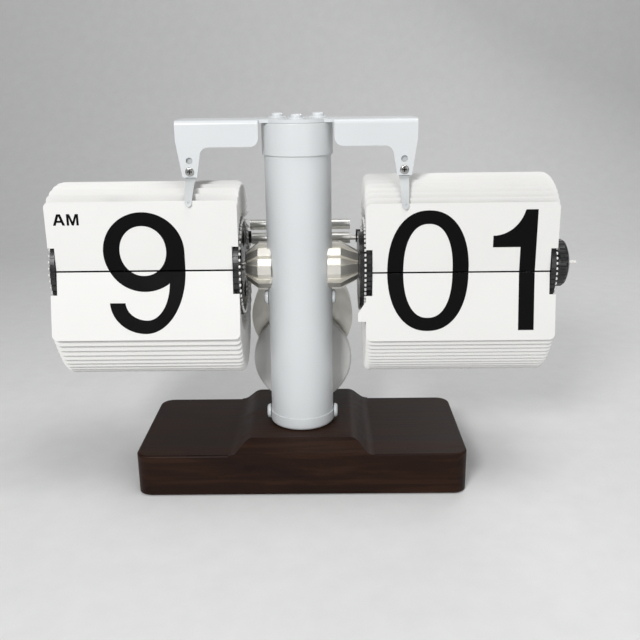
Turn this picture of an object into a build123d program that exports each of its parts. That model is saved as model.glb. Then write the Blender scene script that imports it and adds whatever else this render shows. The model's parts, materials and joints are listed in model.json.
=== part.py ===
"""Flip number clock: two drums of hinged number cards on a round column, over a wooden base.

Millimetres. X runs to the viewer's right, Y runs to the back and Z runs up. The origin is the
middle of the column on the plane that the clock stands on.
"""
from build123d import *
from dataclasses import dataclass
import math
import os

os.makedirs("parts", exist_ok=True)

# ---------------------------------------------------------------- base
FELT_T = 1.0
FELT_INSET = 4.0
BASE_WIDTH = 212.3
BASE_DEPTH = 94.4
BASE_MID_Y = 5.1
SLAB_TOP = 28.2
BASE_CORNER_R = 9.0
BASE_EDGE_R = 1.6
MESA_TOP = 35.3
MESA_HALF_FOOT = 46.6
FLANK_SLOPE = 38.0
FLANK_R = 8.8
MESA_BEVEL_Y = 11.5
MESA_BEVEL_Z = 29.6
RECESS_R = 27.0
RECESS_TOP = 7.2
NUT_NOTCH_R = 2.0

# ---------------------------------------------------------------- column
TUBE_R = 20.7
TUBE_WALL = 1.5
TUBE_BOTTOM = 37.8
TUBE_TOP = 229.7
CUP_R = 21.3
CUP_TOP = 43.4
CUP_EDGE_R = 2.2
NECK_R = 19.6
NECK_BORE_R = 17.9
CAP_R = 21.9
CAP_BOTTOM = 212.3
CAP_TOP = 231.7
SIDE_SCREW_Z = 121.0
CUP_SCREW_Z = 41.0
DOME_R = 4.7
DOME_H = 2.4
SCREW_R = 1.5
HOLE_PLAY = 0.05

# ---------------------------------------------------------------- top bracket and spring fingers
PLATE_T = 2.0
BEND_R = 2.6
BRACKET_TOP = CAP_TOP + PLATE_T
BRACKET_FRONT_Y = -17.6
BRACKET_BACK_Y = 13.0
BRACKET_CORNER_R = 2.5
BRACKET_RELIEF = 3.4
ARM_INNER_X = 22.6
ARM_OUTER_X = 72.0
ARM_BOTTOM = 218.1
CLAW_KNEE_Z = 222.0
CLAW_BOTTOM = 200.5
CLAW_BOTTOM_X = (60.0, 68.8)
CLAW_ROOT_X = 57.0
ARM_CORNER_R = 5.2
FINGER_X = 64.3
FINGER_T = 0.5
FINGER_ROOT_W = 6.0
FINGER_TIP_W = 4.3
FINGER_TIP_Y = -29.6
FINGER_TIP_GAP = 0.35
FINGER_TOP_Z = 213.6
FINGER_SCREW_Z = 203.9
FINGER_SCREW_R = 1.1
SIGHT_HOLE_Z = 210.3
SIGHT_HOLE_R = 2.0
TOP_SCREW_RING = 14.5
TOP_SCREW_ANGLES = (-90, 30, 150)
WASHER_R, WASHER_T = 5.4, 0.9
TOP_HEAD_R, TOP_HEAD_H = 3.7, 2.2
KEY_SOCKET_R, KEY_SOCKET_DEPTH = 1.4, 1.2

# ---------------------------------------------------------------- drums and cards
AXLE_Z = 142.0
AXLE_R = 3.0
AXLE_HEAD_R, AXLE_HEAD_T = 4.6, 1.2
AXLE_GAP = 2.0
PIN_RING = 29.5
DISC_R = 31.3
DISC_T = 3.0
DISC_INSET = 0.5
RIM_SLOT = (1.6, 0.9)
WINDOW_RING, WINDOW_R, WINDOWS = 17.5, 5.4, 5
CORE_R = 8.0
CARD_L = 40.3
CARD_T = 0.22
CARD_PITCH = 0.55
CARD_CORNER_R = 3.5
CARD_LEAN = 1.0
HANG_FAN = 0.64
SPLIT_GAP = 1.0
NOTCH_W = 4.0
NOTCH_L = 12.5
EAR_TOP = 15.9
EAR_SLOPE = 7.2
EAR_H = 12.3
EAR_OUT = 4.9
CAM_R = 29.0
CAM_LOW_R = 20.0
CAM_X = (37.6, 41.4)
CAM_START = 154
CAM_RISE_FROM, CAM_RISE_TO = 70, 160
KNOB_R = 15.1
KNOB_X = (161.5, 171.4)
KNOB_DOME = 3.4
KNOB_RIBS = 24
KNOB_RIB_R = 1.15
AXLE_TIP_R = 1.1
AXLE_TIP_X = 176.8
NUT_R, NUT_T = 5.0, 2.0

# ---------------------------------------------------------------- hubs and rear rods
HUB_END_LEFT = 34.0
HUB_END_RIGHT = 37.2
HUB_COLLAR_X = 26.0
HUB_ROOT_R = 12.2
HUB_TIP_R = 7.6
HUB_RIB_ROOT_R = 15.2
HUB_RIB_TIP_R = 8.8
HUB_RIB_W = 5.4
HUB_RIBS = 8
BUSH_R = 5.0
BUSH_PLAY = 0.04
SLEEVE_Y, SLEEVE_Z, SLEEVE_R = 31.0, 153.5, 3.85
ROD_Y, ROD_Z, ROD_R = 38.0, 161.7, 3.6
SHAFT_R = 1.5
SLEEVE_X = (-33.0, 33.1)
ROD_X = (-34.5, 33.3)
SHAFT_X = (-35.2, 40.0)
LEVER_BOSS_R, LEVER_NOSE_R = 3.1, 1.6

# ---------------------------------------------------------------- gearbox
CASE_R, CASE_Z = 34.8, 99.0
CASE_LOW_R, CASE_LOW_Z = 30.0, 70.4
CASE_FRONT_Y = 30.5
CASE_LOW_FRONT_Y = 27.0
CASE_BACK_Y = 50.0
CASE_WALL = 2.0
TOWER_HALF_X = 13.0
TOWER_TOP = 170.0
TOWER_BOTTOM = 113.0
TOWER_DEPTH = 18.0
PAD_W, PAD_H, PAD_Z = 20.0, 24.0, 124.0
COLUMN_BOLT_Z = (117.0, 131.0)
COVER_T = 2.0
MOTOR_COVER_R = 33.8
MOTOR_COVER_Y = (22.0, 27.0)
MODULE = 0.8
PRESSURE_ANGLE = math.radians(20)
PINION_TEETH = 12
WHEEL_TEETH = 48
MESH_PLAY = 0.22
GEAR_Y = (44.0, 46.5)
WHEEL_Z = CASE_LOW_Z + MODULE * (PINION_TEETH + WHEEL_TEETH) / 2 + MESH_PLAY
ARBOR_R = 1.5
ROTOR_Y = (33.0, 41.0)
ROTOR_R = 6.5
ROTOR_SHAFT_R = 1.0
MOTOR_R = 13.0
MOTOR_WALL = 1.0
MOTOR_Y = (31.0, 42.5)
BOARD_Z = 119.0

# ---------------------------------------------------------------- battery
CELL_R = 17.1
CELL_BOTTOM = 14.0
CELL_LENGTH = 59.5
CELL_NUB_R = 4.6
CELL_NUB_H = 1.5
CONTACT_Z = CELL_BOTTOM + CELL_LENGTH + CELL_NUB_H
CONTACT_R, CONTACT_T = 5.0, 2.0
PLUG_T = 4.0
HATCH_R = 25.0
HATCH_T = 3.0
HATCH_RIM_H, HATCH_RIM_T, HATCH_FLOOR_T = 5.0, 1.7, 2.0
SPRING_T = 0.6
SPRING_W = 6.0


@dataclass
class Drum:
    """One drum of cards: how many, where they lie along X, and how they stand."""

    cards: int
    x: tuple
    front_angle: float
    fan: float

    @property
    def step(self):
        return 360 / self.cards

    def pins(self, index):
        """Y and Z of a card's hinge, counted in steps up the ring from the front card."""
        angle = math.radians(self.front_angle + index * self.step)
        return -PIN_RING * math.cos(angle), AXLE_Z + PIN_RING * math.sin(angle)

    @property
    def tail(self):
        """How far a card reaches past its hinge, so that the split between two cards is thin."""
        return (self.pins(0)[1] - self.pins(-1)[1] - SPLIT_GAP) / 2


DRUMS = {
    "minute": Drum(cards=60, x=(41.0, 156.2), front_angle=5.7, fan=0.6),
    "hour": Drum(cards=48, x=(-151.0, -35.8), front_angle=11.5, fan=1.0),
}


def save(part, name):
    """Label a finished piece and write it out under its own name."""
    part.label = name
    export_step(part, f"parts/{name}.step")


def x_plane(x, y=0.0, z=AXLE_Z):
    """A plane square to X whose sketch X runs to the back and whose sketch Y runs up."""
    return Plane(origin=(x, y, z), x_dir=(0, 1, 0), z_dir=(1, 0, 0))


def back_plane(y, x=0.0, z=0.0):
    """A plane square to Y: sketch X runs to the left seen from behind, sketch Y runs up."""
    return Plane(origin=(x, y, z), x_dir=(-1, 0, 0), z_dir=(0, 1, 0))


def rod_x(x0, x1, radius, y=0.0, z=AXLE_Z, bore=0.0):
    """A round bar or sleeve along X."""
    with BuildPart() as bar:
        with BuildSketch(x_plane(x0, y, z)):
            Circle(radius)
            if bore:
                Circle(bore, mode=Mode.SUBTRACT)
        extrude(amount=x1 - x0)
    return bar.part


def dome_screw(plane, head_r, head_h, shank_r, shank_l):
    """A round-headed screw whose head stands on the plane and whose shank goes below it."""
    with BuildPart() as screw:
        with BuildSketch(plane):
            Circle(head_r)
        extrude(amount=head_h)
        fillet(screw.edges().group_by(Axis(plane.origin, plane.z_dir))[-1], head_h * 0.8)
        with BuildSketch(plane.offset(head_h)):
            Rectangle(head_r * 1.1, head_r * 0.24)
            Rectangle(head_r * 0.24, head_r * 1.1)
        extrude(amount=-head_h * 0.45, mode=Mode.SUBTRACT)
        with BuildSketch(plane):
            Circle(shank_r)
        extrude(amount=-shank_l)
    return screw.part


# ================================================================ base
BACK_Y = BASE_MID_Y + BASE_DEPTH / 2
FRONT_Y = BASE_MID_Y - BASE_DEPTH / 2
FLANK_RISE = MESA_TOP - SLAB_TOP
FLANK_ARC_RISE = FLANK_R * (1 - math.cos(math.radians(FLANK_SLOPE)))
FLANK_L = (FLANK_RISE - 2 * FLANK_ARC_RISE) / math.sin(math.radians(FLANK_SLOPE))

with BuildPart() as wood_base:
    with BuildSketch(Plane.XY.offset(FELT_T)):
        with Locations((0, BASE_MID_Y)):
            RectangleRounded(BASE_WIDTH, BASE_DEPTH, BASE_CORNER_R)
    extrude(amount=SLAB_TOP - FELT_T)
    fillet(wood_base.edges().group_by(Axis.Z)[-1], BASE_EDGE_R)
    with BuildSketch(back_plane(BACK_Y)):
        with BuildLine():
            Line((MESA_HALF_FOOT, SLAB_TOP - FLANK_RISE), (MESA_HALF_FOOT, SLAB_TOP))
            foot = JernArc((MESA_HALF_FOOT, SLAB_TOP), (-1, 0), FLANK_R, -FLANK_SLOPE)
            flank = Line(foot @ 1, foot @ 1 + (foot % 1) * FLANK_L)
            brow = JernArc(flank @ 1, flank % 1, FLANK_R, FLANK_SLOPE)
            Line(brow @ 1, (0, MESA_TOP))
            Line((0, SLAB_TOP - FLANK_RISE), (MESA_HALF_FOOT, SLAB_TOP - FLANK_RISE))
            mirror(about=Plane.YZ)
        make_face()
    extrude(amount=-BASE_DEPTH)
    with BuildSketch(x_plane(-MESA_HALF_FOOT - 1, 0, 0)):
        with BuildLine():
            Polyline(
                (FRONT_Y, MESA_BEVEL_Z),
                (FRONT_Y, MESA_TOP + 1),
                (FRONT_Y + MESA_BEVEL_Y * 1.2, MESA_TOP + 1),
                (FRONT_Y + MESA_BEVEL_Y, MESA_TOP),
                close=True,
            )
        make_face()
    extrude(amount=2 * MESA_HALF_FOOT + 2, mode=Mode.SUBTRACT)
    with BuildSketch(Plane.XY):
        Circle(RECESS_R)
    extrude(amount=RECESS_TOP, mode=Mode.SUBTRACT)
    with BuildSketch(Plane.XY):
        Circle(NECK_R + HOLE_PLAY)
    extrude(amount=MESA_TOP + 1, mode=Mode.SUBTRACT)
save(wood_base.part, "wood_base")

with BuildPart() as base_felt:
    with BuildSketch(Plane.XY):
        with Locations((0, BASE_MID_Y)):
            RectangleRounded(BASE_WIDTH - 2 * FELT_INSET, BASE_DEPTH - 2 * FELT_INSET, BASE_CORNER_R - FELT_INSET)
        Circle(RECESS_R, mode=Mode.SUBTRACT)
    extrude(amount=FELT_T)
save(base_felt.part, "base_felt")

with BuildPart() as ring_nut:
    with BuildSketch(Plane.XY.offset(RECESS_TOP - HATCH_T)):
        Circle(RECESS_R - 1)
        Circle(NECK_R, mode=Mode.SUBTRACT)
        with PolarLocations(RECESS_R - 1, 4):
            Circle(NUT_NOTCH_R, mode=Mode.SUBTRACT)
    extrude(amount=HATCH_T)
save(ring_nut.part, "column_ring_nut")

# ================================================================ column
with BuildPart() as column_tube:
    with BuildSketch(Plane.XY.offset(TUBE_BOTTOM)):
        Circle(TUBE_R)
        Circle(TUBE_R - TUBE_WALL, mode=Mode.SUBTRACT)
    extrude(amount=TUBE_TOP - TUBE_BOTTOM)
    with BuildSketch(x_plane(-TUBE_R - 1)):
        Circle(BUSH_R + HOLE_PLAY)
    extrude(amount=2 * TUBE_R + 2, mode=Mode.SUBTRACT)
    for hole_z in (SIDE_SCREW_Z, CUP_SCREW_Z):
        with BuildSketch(x_plane(-TUBE_R - 1, 0, hole_z)):
            Circle(SCREW_R + HOLE_PLAY)
        extrude(amount=2 * TUBE_R + 2, mode=Mode.SUBTRACT)
    with BuildSketch(back_plane(0)):
        with Locations(*[(0, bolt_z) for bolt_z in COLUMN_BOLT_Z]):
            Circle(SCREW_R + HOLE_PLAY)
    extrude(amount=TUBE_R + 1, mode=Mode.SUBTRACT)
save(column_tube.part, "column_tube")

with BuildPart() as lower_cap:
    with BuildSketch(Plane.XY.offset(MESA_TOP)):
        Circle(CUP_R)
    extrude(amount=CUP_TOP - MESA_TOP)
    fillet(lower_cap.edges().group_by(Axis.Z)[0], CUP_EDGE_R)
    with BuildSketch(Plane.XY.offset(RECESS_TOP - HATCH_T)):
        Circle(NECK_R)
    extrude(amount=MESA_TOP - RECESS_TOP + HATCH_T)
    with BuildSketch(Plane.XY):
        Circle(NECK_BORE_R)
    extrude(amount=CUP_TOP, mode=Mode.SUBTRACT)
    with BuildSketch(Plane.XY.offset(TUBE_BOTTOM)):
        Circle(TUBE_R)
    extrude(amount=CUP_TOP, mode=Mode.SUBTRACT)
    with BuildSketch(x_plane(-CUP_R - 1, 0, CUP_SCREW_Z)):
        Circle(SCREW_R + HOLE_PLAY)
    extrude(amount=2 * CUP_R + 2, mode=Mode.SUBTRACT)
save(lower_cap.part, "lower_cap")

with BuildPart() as upper_cap:
    with BuildSketch(Plane.XY.offset(CAP_BOTTOM)):
        Circle(CAP_R)
    extrude(amount=CAP_TOP - CAP_BOTTOM)
    fillet(upper_cap.edges().group_by(Axis.Z)[-1], 0.8)
    fillet(upper_cap.edges().group_by(Axis.Z)[0], 0.5)
    with BuildSketch(Plane.XY.offset(CAP_BOTTOM - 1)):
        Circle(TUBE_R)
    extrude(amount=TUBE_TOP - CAP_BOTTOM + 1, mode=Mode.SUBTRACT)
    with BuildSketch(Plane.XY.offset(TUBE_TOP)):
        with Locations([Vector(TOP_SCREW_RING, 0).rotate(Axis.Z, a) for a in TOP_SCREW_ANGLES]):
            Circle(SCREW_R + HOLE_PLAY)
    extrude(amount=PLATE_T, mode=Mode.SUBTRACT)
save(upper_cap.part, "upper_cap")


def side_screws(x_seat, z, shank):
    """Two round-headed screws facing each other across the column."""
    pair = []
    for side in (-1, 1):
        plane = Plane(origin=(side * x_seat, 0, z), x_dir=(0, side, 0), z_dir=(side, 0, 0))
        pair.append(dome_screw(plane, DOME_R, DOME_H, SCREW_R, shank))
    return Compound(children=pair)


save(side_screws(TUBE_R + HOLE_PLAY, SIDE_SCREW_Z, 5.0), "column_side_screws")
save(side_screws(CUP_R + HOLE_PLAY, CUP_SCREW_Z, 2.6), "lower_cap_screws")

# ================================================================ top bracket
with BuildPart() as top_bracket:
    with BuildSketch(Plane.XY.offset(CAP_TOP)):
        with Locations((0, (BRACKET_FRONT_Y + BRACKET_BACK_Y) / 2)):
            Rectangle(2 * ARM_OUTER_X, BRACKET_BACK_Y - BRACKET_FRONT_Y)
        with Locations((0, BRACKET_FRONT_Y)):
            Rectangle(2 * ARM_INNER_X, 2 * BRACKET_RELIEF, mode=Mode.SUBTRACT)
        Circle(CAP_R)
    extrude(amount=PLATE_T)
    for side in (-1, 1):
        with BuildSketch(back_plane(BRACKET_FRONT_Y)) as claw:
            with BuildLine():
                Polyline(
                    (side * ARM_INNER_X, CAP_TOP),
                    (side * ARM_OUTER_X, CAP_TOP),
                    (side * ARM_OUTER_X, CLAW_KNEE_Z),
                    (side * CLAW_BOTTOM_X[1], CLAW_BOTTOM),
                    (side * CLAW_BOTTOM_X[0], CLAW_BOTTOM),
                    (side * CLAW_ROOT_X, ARM_BOTTOM),
                    (side * ARM_INNER_X, ARM_BOTTOM),
                    close=True,
                )
            make_face()
            for row, corner_r in ((2, ARM_CORNER_R), (1, ARM_CORNER_R), (0, 0.8)):
                fillet(claw.vertices().group_by(Axis.Y)[row], corner_r)
        extrude(amount=PLATE_T)
    bend_edges = top_bracket.edges().filter_by(Axis.X).group_by(Axis.Z)[-1].group_by(Axis.Y)[0]
    fillet(bend_edges, BEND_R)
    back_corners = top_bracket.edges().filter_by(Axis.Z).group_by(Axis.Y)[-1]
    fillet(back_corners, BRACKET_CORNER_R)
    with BuildSketch(Plane.XY.offset(CAP_TOP)):
        with Locations([Vector(TOP_SCREW_RING, 0).rotate(Axis.Z, a) for a in TOP_SCREW_ANGLES]):
            Circle(SCREW_R + HOLE_PLAY)
    extrude(amount=PLATE_T, mode=Mode.SUBTRACT)
    with BuildSketch(back_plane(BRACKET_FRONT_Y)):
        for side in (-1, 1):
            with Locations((side * FINGER_X, FINGER_SCREW_Z)):
                Circle(FINGER_SCREW_R)
            with Locations((side * FINGER_X, SIGHT_HOLE_Z)):
                Circle(SIGHT_HOLE_R)
    extrude(amount=PLATE_T, mode=Mode.SUBTRACT)
save(top_bracket.part, "top_bracket")


def spring_finger(side, drum):
    """A tapered spring strip that hangs from a claw and slants forward over the cards."""
    seat_y = BRACKET_FRONT_Y + PLATE_T + FINGER_T / 2
    tip_z = drum.pins(0)[1] + CARD_L + FINGER_TIP_GAP
    tip_arc_z = tip_z + FINGER_TIP_W / 2
    bend_z = CLAW_BOTTOM - FINGER_T
    with BuildPart() as finger:
        with BuildSketch(x_plane(side * FINGER_X - FINGER_ROOT_W, 0, 0)):
            with BuildLine():
                Polyline(
                    (seat_y, FINGER_TOP_Z),
                    (seat_y, bend_z),
                    (FINGER_TIP_Y, tip_z + 2 * PLATE_T),
                    (FINGER_TIP_Y, tip_z),
                )
                offset(amount=FINGER_T / 2, kind=Kind.INTERSECTION)
            make_face()
        extrude(amount=2 * FINGER_ROOT_W)
        with BuildSketch(back_plane(FINGER_TIP_Y - FINGER_T, side * FINGER_X)):
            with BuildLine():
                Polyline(
                    (-FINGER_TIP_W / 2, tip_arc_z),
                    (-FINGER_ROOT_W / 2, CLAW_BOTTOM),
                    (-FINGER_ROOT_W / 2, FINGER_TOP_Z),
                    (FINGER_ROOT_W / 2, FINGER_TOP_Z),
                    (FINGER_ROOT_W / 2, CLAW_BOTTOM),
                    (FINGER_TIP_W / 2, tip_arc_z),
                )
                ThreePointArc((FINGER_TIP_W / 2, tip_arc_z), (0, tip_z), (-FINGER_TIP_W / 2, tip_arc_z))
            make_face()
        extrude(amount=seat_y + PLATE_T - FINGER_TIP_Y, mode=Mode.INTERSECT)
        with BuildSketch(back_plane(BRACKET_FRONT_Y, side * FINGER_X, FINGER_SCREW_Z)):
            Circle(FINGER_SCREW_R)
        extrude(amount=2 * PLATE_T, mode=Mode.SUBTRACT)
    return finger.part


save(spring_finger(-1, DRUMS["hour"]), "hour_finger")
save(spring_finger(1, DRUMS["minute"]), "minute_finger")

finger_screws = []
for side in (-1, 1):
    seat = Plane(origin=(side * FINGER_X, BRACKET_FRONT_Y, FINGER_SCREW_Z), z_dir=(0, -1, 0))
    finger_screws.append(dome_screw(seat, 2.7, 1.2, FINGER_SCREW_R, PLATE_T + 1.6))
save(Compound(children=finger_screws), "finger_screws")

top_screws = []
for angle in TOP_SCREW_ANGLES:
    seat = Plane(origin=Vector(TOP_SCREW_RING, 0, BRACKET_TOP).rotate(Axis.Z, angle))
    with BuildPart() as top_screw:
        with BuildSketch(seat):
            Circle(WASHER_R)
        extrude(amount=WASHER_T)
        fillet(top_screw.edges().group_by(Axis.Z)[-1], WASHER_T / 2)
        with BuildSketch(seat.offset(WASHER_T)):
            Circle(TOP_HEAD_R)
        extrude(amount=TOP_HEAD_H)
        fillet(top_screw.edges().group_by(Axis.Z)[-1], TOP_HEAD_H * 0.7)
        with BuildSketch(seat.offset(WASHER_T + TOP_HEAD_H)):
            RegularPolygon(KEY_SOCKET_R, 6)
        extrude(amount=-KEY_SOCKET_DEPTH, mode=Mode.SUBTRACT)
        with BuildSketch(seat):
            Circle(SCREW_R)
        extrude(amount=-2 * PLATE_T)
    top_screws.append(top_screw.part)
save(Compound(children=top_screws), "top_screws")


# ================================================================ number cards
def card_outline(drum, ear):
    """Draw a card flat: X across the card, Y away from its hinge line."""
    left_x, right_x = drum.x
    with BuildSketch(mode=Mode.PRIVATE) as flat:
        with Locations(((left_x + right_x) / 2, (CARD_L - drum.tail) / 2)):
            Rectangle(right_x - left_x, CARD_L + drum.tail)
        fillet(flat.vertices().group_by(Axis.Y)[-1], CARD_CORNER_R)
        for notch_x in (left_x + NOTCH_W / 2, right_x - NOTCH_W / 2):
            with Locations((notch_x, 0)):
                Rectangle(NOTCH_W, 2 * NOTCH_L, mode=Mode.SUBTRACT)
        if ear:
            with BuildLine():
                Polyline(
                    (left_x + 1, EAR_TOP),
                    (left_x, EAR_TOP),
                    (left_x - EAR_OUT, EAR_TOP + EAR_SLOPE),
                    (left_x - EAR_OUT, EAR_TOP + EAR_H),
                    (left_x + 1, EAR_TOP + EAR_H),
                    close=True,
                )
            make_face()
    return flat.sketch


def one_card(drum, y, z, lean_deg, ear=False):
    """One thin card from its hinge line at (y, z), leaning back from upright by an angle."""
    lean = math.radians(lean_deg)
    plane = Plane(origin=(0, y, z), x_dir=(1, 0, 0), z_dir=(0, -math.cos(lean), math.sin(lean)))
    with BuildPart() as card:
        with BuildSketch(plane):
            add(card_outline(drum, ear))
        extrude(amount=CARD_T / 2, both=True)
    return card.part


def standing_cards(drum):
    """The cards behind the front one, fanned over the drum from the front to the back."""
    cards = []
    for index in range(1, drum.cards // 2):
        turn = index * drum.step
        lean = CARD_LEAN + turn * (drum.fan + (1 - drum.fan) * turn / 180)
        cards.append(one_card(drum, *drum.pins(index), lean))
    return cards


def hanging_cards(drum, has_ear):
    """The cards that hang below the front line, the first pushed out by the hinge of the one below it."""
    y, z = drum.pins(-1)
    below_y, below_z = drum.pins(-2)
    front_swing = math.asin((CARD_PITCH - below_y + y) / (z - below_z - drum.tail))
    cards = []
    for index in range(1, drum.cards // 2 + 1):
        swing = math.degrees(front_swing) * HANG_FAN ** (index - 1)
        cards.append(one_card(drum, *drum.pins(-index), 180 + swing, has_ear and index == 1))
    return cards


for drum_name, drum in DRUMS.items():
    save(Compound(children=standing_cards(drum)), f"{drum_name}_cards_standing")
    save(Compound(children=hanging_cards(drum, drum_name == "minute")), f"{drum_name}_cards_hanging")
    save(one_card(drum, *drum.pins(0), CARD_LEAN), f"{drum_name}_flip_card")


# ================================================================ drums
def drum_disc(x0, cards):
    """A drum's end disc: a thin wheel with a slotted rim, round windows and a hub."""
    with BuildPart() as disc:
        with BuildSketch(x_plane(x0)):
            Circle(DISC_R)
            Circle(AXLE_R, mode=Mode.SUBTRACT)
            with PolarLocations(DISC_R, cards):
                Rectangle(*RIM_SLOT, mode=Mode.SUBTRACT)
            with PolarLocations(WINDOW_RING, WINDOWS):
                Circle(WINDOW_R, mode=Mode.SUBTRACT)
        extrude(amount=DISC_T)
    return disc.part


for drum_name, drum in DRUMS.items():
    left_x = drum.x[0] + DISC_INSET
    right_x = drum.x[1] - DISC_INSET - DISC_T
    inner_x, outer_x = (left_x, right_x) if drum_name == "minute" else (right_x, left_x)
    save(drum_disc(inner_x, drum.cards), f"{drum_name}_inner_disc")
    save(drum_disc(outer_x, drum.cards), f"{drum_name}_outer_disc")
    save(rod_x(left_x + DISC_T, right_x, CORE_R, bore=AXLE_R), f"{drum_name}_drum_core")

HOUR_END_X = DRUMS["hour"].x[0]
MINUTE_END_X = DRUMS["minute"].x[1]

with BuildPart() as carry_cam:
    with BuildSketch(x_plane(CAM_X[0])):
        with BuildLine():
            spiral = []
            for turn in range(0, 361, 20):
                rise = min(1, max(0, (turn - CAM_RISE_FROM) / (CAM_RISE_TO - CAM_RISE_FROM)))
                radius = CAM_LOW_R + (CAM_R - CAM_LOW_R) * rise
                angle = math.radians(CAM_START - turn)
                spiral.append((radius * math.cos(angle), radius * math.sin(angle)))
            Spline(*spiral)
            Line(spiral[-1], spiral[0])
        make_face()
        Circle(AXLE_R, mode=Mode.SUBTRACT)
    extrude(amount=CAM_X[1] - CAM_X[0])
save(carry_cam.part, "carry_cam")

with BuildPart() as minute_axle:
    with BuildSketch(x_plane(AXLE_GAP)):
        Circle(AXLE_R)
    extrude(amount=KNOB_X[1] - AXLE_GAP)
    with BuildSketch(x_plane(KNOB_X[1])):
        Circle(AXLE_TIP_R)
    extrude(amount=AXLE_TIP_X - KNOB_X[1])
    with BuildSketch(x_plane(AXLE_GAP)):
        Circle(AXLE_HEAD_R)
    extrude(amount=AXLE_HEAD_T)
save(minute_axle.part, "minute_axle")

with BuildPart() as hour_axle:
    with BuildSketch(x_plane(HOUR_END_X - NUT_T)):
        Circle(AXLE_R)
    extrude(amount=NUT_T - AXLE_GAP - HOUR_END_X)
    with BuildSketch(x_plane(-AXLE_GAP)):
        Circle(AXLE_HEAD_R)
    extrude(amount=-AXLE_HEAD_T)
save(hour_axle.part, "hour_axle")

with BuildPart() as end_nut:
    with BuildSketch(x_plane(HOUR_END_X + DISC_INSET - NUT_T)):
        RegularPolygon(NUT_R, 6)
        Circle(AXLE_R, mode=Mode.SUBTRACT)
    extrude(amount=NUT_T)
save(end_nut.part, "hour_axle_nut")

with BuildPart() as setting_knob:
    with BuildSketch(Plane(origin=(0, 0, AXLE_Z), x_dir=(1, 0, 0), z_dir=(0, -1, 0))):
        with BuildLine():
            shoulder_x = KNOB_X[1] - KNOB_DOME
            face = ThreePointArc(
                (KNOB_X[1], 0),
                (KNOB_X[1] - KNOB_DOME / 4, KNOB_R / 2),
                (shoulder_x, KNOB_R - 1),
            )
            Polyline(face @ 1, (shoulder_x - 1.6, KNOB_R), (KNOB_X[0], KNOB_R), (KNOB_X[0], 0), face @ 0)
        make_face()
    revolve(axis=Axis((0, 0, AXLE_Z), (1, 0, 0)))
    with BuildSketch(x_plane(KNOB_X[0] + 1.4)):
        with PolarLocations(KNOB_R + 0.35, KNOB_RIBS):
            Circle(KNOB_RIB_R)
    extrude(amount=KNOB_X[1] - KNOB_X[0], mode=Mode.SUBTRACT)
    with BuildSketch(x_plane(MINUTE_END_X - DISC_INSET)):
        Circle(CORE_R)
    extrude(amount=KNOB_X[0] - MINUTE_END_X + DISC_INSET)
    with BuildSketch(x_plane(MINUTE_END_X - DISC_INSET)):
        Circle(AXLE_R)
    extrude(amount=KNOB_X[1], mode=Mode.SUBTRACT)
save(setting_knob.part, "setting_knob")


# ================================================================ hubs and bushes
def hub(side, end_x):
    """A ribbed cone between the column and a drum, bored for the axle's bush."""
    root_x = side * (TUBE_R - 3)
    collar_x = side * HUB_COLLAR_X
    tip_x = side * end_x
    axle_plane = Plane(origin=(0, 0, AXLE_Z), x_dir=(1, 0, 0), z_dir=(0, -1, 0))
    with BuildPart() as cone:
        with BuildSketch(axle_plane):
            with BuildLine():
                Polyline(
                    (root_x, BUSH_R),
                    (root_x, HUB_ROOT_R),
                    (collar_x, HUB_ROOT_R),
                    (tip_x, HUB_TIP_R),
                    (tip_x, BUSH_R),
                    close=True,
                )
            make_face()
        revolve(axis=Axis((0, 0, AXLE_Z), (1, 0, 0)))
        for rib in range(HUB_RIBS):
            turn = math.radians(360 / HUB_RIBS * rib)
            out = Vector(0, -math.cos(turn), math.sin(turn))
            rib_plane = Plane(origin=(0, 0, AXLE_Z), x_dir=(1, 0, 0), z_dir=Vector(1, 0, 0).cross(out))
            with BuildSketch(rib_plane):
                with BuildLine():
                    Polyline(
                        (root_x, BUSH_R + 1),
                        (root_x, HUB_RIB_ROOT_R),
                        (collar_x, HUB_RIB_ROOT_R),
                        (tip_x, HUB_RIB_TIP_R),
                        (tip_x, BUSH_R + 1),
                        close=True,
                    )
                make_face()
            extrude(amount=HUB_RIB_W / 2, both=True)
        with BuildSketch(Plane.XY.offset(AXLE_Z - HUB_RIB_ROOT_R - 1)):
            Circle(TUBE_R)
        extrude(amount=2 * HUB_RIB_ROOT_R + 2, mode=Mode.SUBTRACT)
    return cone.part


save(hub(-1, HUB_END_LEFT), "left_hub")
save(hub(1, HUB_END_RIGHT), "right_hub")

BUSH_START_X = TUBE_R - 6
bushes = [
    rod_x(-HUB_END_LEFT, -BUSH_START_X, BUSH_R, bore=AXLE_R + BUSH_PLAY),
    rod_x(BUSH_START_X, HUB_END_RIGHT, BUSH_R, bore=AXLE_R + BUSH_PLAY),
]
save(Compound(children=bushes), "axle_bushes")

# ================================================================ rear rods and carry lever
save(rod_x(*ROD_X, ROD_R, ROD_Y, ROD_Z), "rear_tie_rod")
save(rod_x(*SLEEVE_X, SLEEVE_R, SLEEVE_Y, SLEEVE_Z, bore=SHAFT_R + BUSH_PLAY), "lever_sleeve")
save(rod_x(*SHAFT_X, SHAFT_R, SLEEVE_Y, SLEEVE_Z), "lever_shaft")


def lever(x0, x1, reach, rise):
    """A short arm on the lever shaft with a round nose towards the drum."""
    with BuildPart() as arm:
        with BuildSketch(x_plane(x0, SLEEVE_Y, SLEEVE_Z)):
            Circle(LEVER_BOSS_R)
            with Locations((-reach, rise)):
                Circle(LEVER_NOSE_R)
            with BuildLine():
                Polyline((0, 3.0), (-reach, rise + 1.4), (-reach, rise - 1.4), (0, -3.0), close=True)
            make_face()
            Circle(SHAFT_R, mode=Mode.SUBTRACT)
        extrude(amount=x1 - x0)
    return arm.part


save(lever(SHAFT_X[1] - 3.0, SHAFT_X[1], 2.0, 4.5), "cam_follower")
save(lever(SHAFT_X[0], SHAFT_X[0] + 1.9, 1.5, 4.0), "hour_pawl")

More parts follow.
